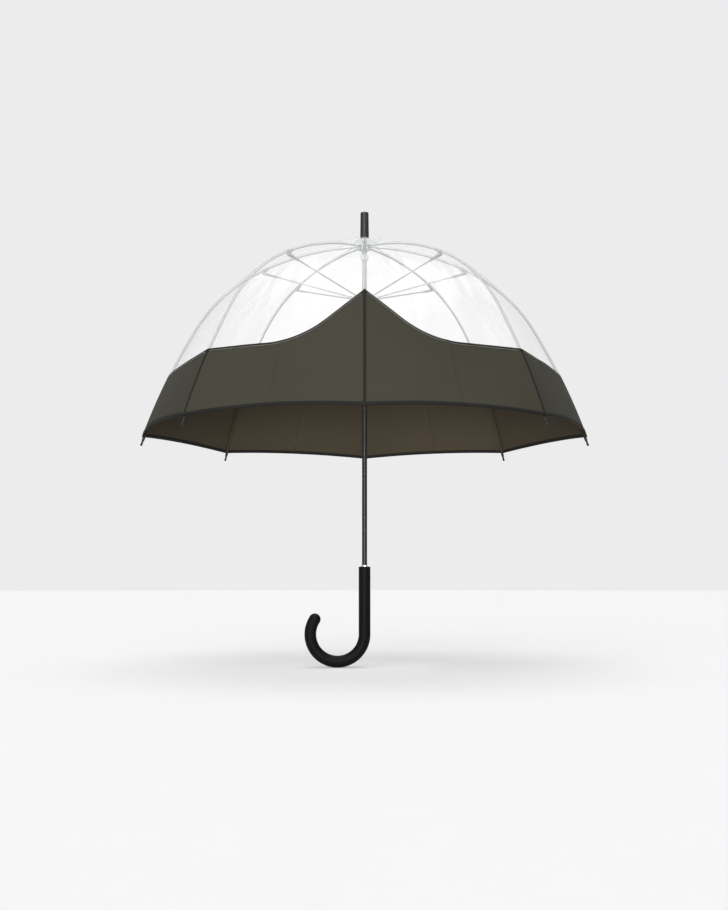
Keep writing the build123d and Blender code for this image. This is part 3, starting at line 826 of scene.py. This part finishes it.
def band_trim(k, looks):
    """The rim's binding, the turned top hem, the tape over rib k's seam, and their stitching."""
    vs = spread_vs(BAND_GRID[0])
    ends = band_ends(k, vs)
    place = partial(band_place, k)

    def under(s, v, out):
        return place(s, v, -out - CLOTH_T)

    builder = Builder()
    rim = [(ends[v][1] - HEM_WIDTH * HEM_CENTRE, v) for v in vs]
    top = [(ends[v][0] + TOP_HEM_WIDTH * HEM_CENTRE, v) for v in vs]
    strip(builder, place, rim, DOWNWARD, 0, HEM_T, HEM_WIDTH)
    strip(builder, under, rim, DOWNWARD, 0, HEM_T, HEM_WIDTH)
    strip(builder, place, top, DOWNWARD, 1, TOP_HEM_T, TOP_HEM_WIDTH)
    low, high = ends[0.0]
    seam_strip(builder, BAND_LINE, k, low, high, 0, TAPE_T, TAPE_WIDTH)
    rib_sleeve(builder, k, low + SLEEVE_INSET, high - SLEEVE_INSET)
    stitched = ((top, TOP_HEM_WIDTH * TOP_STITCH_SHARE, TOP_HEM_T, 2),
                (rim, -HEM_WIDTH * RIM_STITCH_SHARE, HEM_T, 0))
    for line, offset, lift, kind in stitched:
        inside = [(s + offset, v) for s, v in line if abs(v) > STITCH_CLEARANCE]
        for half in (-1, 1):
            run = [(s, v) for s, v in inside if v * half > 0]
            points = [place(s, v, lift) for s, v in run]
            normals = [normal_at(place, s, v) for s, v in run]
            stitches(builder, points, normals, kind)
    # The last material is the cloth's inner-face colour, with painted backlight.
    names = ("binding", "binding", "thread", "inside_painted_backlight")
    return builder.finish(f"band_trim_{k + 1}", [looks[n] for n in names])


def make_band(k, looks):
    cloth, trim = band_cloth(k, looks), band_trim(k, looks)
    vs = list(np.linspace(-1, 1, DEPTH_SAMPLES))
    spans = np.array(list(band_ends(k, vs).values()))
    flat, area = cut_size(BAND_LINE, spans[:, 0].min(), spans[:, 1].max())
    for piece in (cloth, trim):
        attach(piece, f"outer_{k + 1}")
        fold_away(piece, k)
    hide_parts(f"band_panel_{k + 1}")


def make_canopy(looks):
    for k in range(GORES):
        upper_film(k, looks)
        lower_film(k, looks)
        crown_film(k, looks)
        make_band(k, looks)


# ---------------------------------------------------------------- camera, floor and light

def make_camera():
    data = bpy.data.cameras.new("camera")
    data.lens = CAMERA_LENS_MM
    data.sensor_width = SENSOR_MM
    camera = bpy.data.objects.new("camera", data)
    camera.location = CAMERA_AT
    camera.rotation_euler = (math.radians(90 + CAMERA_TILT_DEG), 0, 0)
    bpy.context.scene.collection.objects.link(camera)
    bpy.context.scene.camera = camera


def make_floor():
    """A pale round floor whose far edge shows as the horizon."""
    builder = Builder()
    angles = np.linspace(0, 2 * math.pi, FLOOR_SPOKES, endpoint=False)
    rows, uvs = [], []
    for i in range(FLOOR_RINGS + 1):
        radius = FLOOR_RADIUS * (FLOOR_HOLE_SHARE + i / FLOOR_RINGS) ** 2
        ring = [Vector((radius * math.cos(a), radius * math.sin(a), 0)) for a in angles]
        rows.append(ring)
        uvs.append([(p.x, p.y) for p in ring])
    builder.grid(rows, uvs, closed=True)
    builder.cap(0, FLOOR_SPOKES)
    look = solid_look("floor_paint", [FLOOR_COLOR] * 3, 0.9, spread=0.01, grain_size=60.0, bump=0.02,
                      specular=0.1)
    glow = look.node_tree.nodes["Principled BSDF"]
    glow.inputs["Emission Color"].default_value = (1, 1, 1, 1)
    glow.inputs["Emission Strength"].default_value = FLOOR_GLOW
    builder.finish("floor", [look])


def area_light(name, at, aim, size, power, spread_deg):
    data = bpy.data.lights.new(name, "AREA")
    data.shape = "RECTANGLE"
    data.size, data.size_y = size
    data.energy = power
    data.spread = math.radians(spread_deg)
    lamp = bpy.data.objects.new(name, data)
    lamp.location = at
    lamp.rotation_euler = (Vector(aim) - Vector(at)).to_track_quat("-Z", "Y").to_euler()
    bpy.context.scene.collection.objects.link(lamp)


def sun(name, azimuth_deg, elevation_deg, strength, angle_deg):
    """A far, soft light. Azimuth 0 shines from the front (-Y), 90 from the right."""
    data = bpy.data.lights.new(name, "SUN")
    data.energy = strength
    data.angle = math.radians(angle_deg)
    lamp = bpy.data.objects.new(name, data)
    lamp.rotation_euler = (math.radians(90 - elevation_deg), 0, math.radians(azimuth_deg))
    bpy.context.scene.collection.objects.link(lamp)


def make_light():
    """An even pale room: it shows as pale grey and lights softly, and the front is brightest."""
    world = bpy.data.worlds.new("studio")
    world.use_nodes = True
    tree = world.node_tree
    background = tree.nodes["Background"]
    path = tree.nodes.new("ShaderNodeLightPath")
    level = tree.nodes.new("ShaderNodeMapRange")
    level.inputs["To Min"].default_value = ROOM_LIGHT
    level.inputs["To Max"].default_value = BACKGROUND
    tree.links.new(path.outputs["Is Camera Ray"], level.inputs["Value"])
    tree.links.new(level.outputs["Result"], background.inputs["Strength"])
    background.inputs["Color"].default_value = (1, 1, 1, 1)
    bpy.context.scene.world = world
    sun("front_sun", azimuth_deg=-12, elevation_deg=34, strength=2.8, angle_deg=50)
    sun("top_sun", azimuth_deg=0, elevation_deg=88, strength=2.7, angle_deg=60)
    area_light("low_front", at=(-0.2, -2.9, 0.10), aim=(0, 0.42, 0.52), size=(1.4, 0.5), power=5.0,
               spread_deg=30)


def main():
    bpy.context.scene.view_settings.view_transform = "Standard"
    make_camera()
    dress_nodes()
    make_canopy(make_materials())
    make_floor()
    make_light()


main()
bpy.context.view_layer.update()
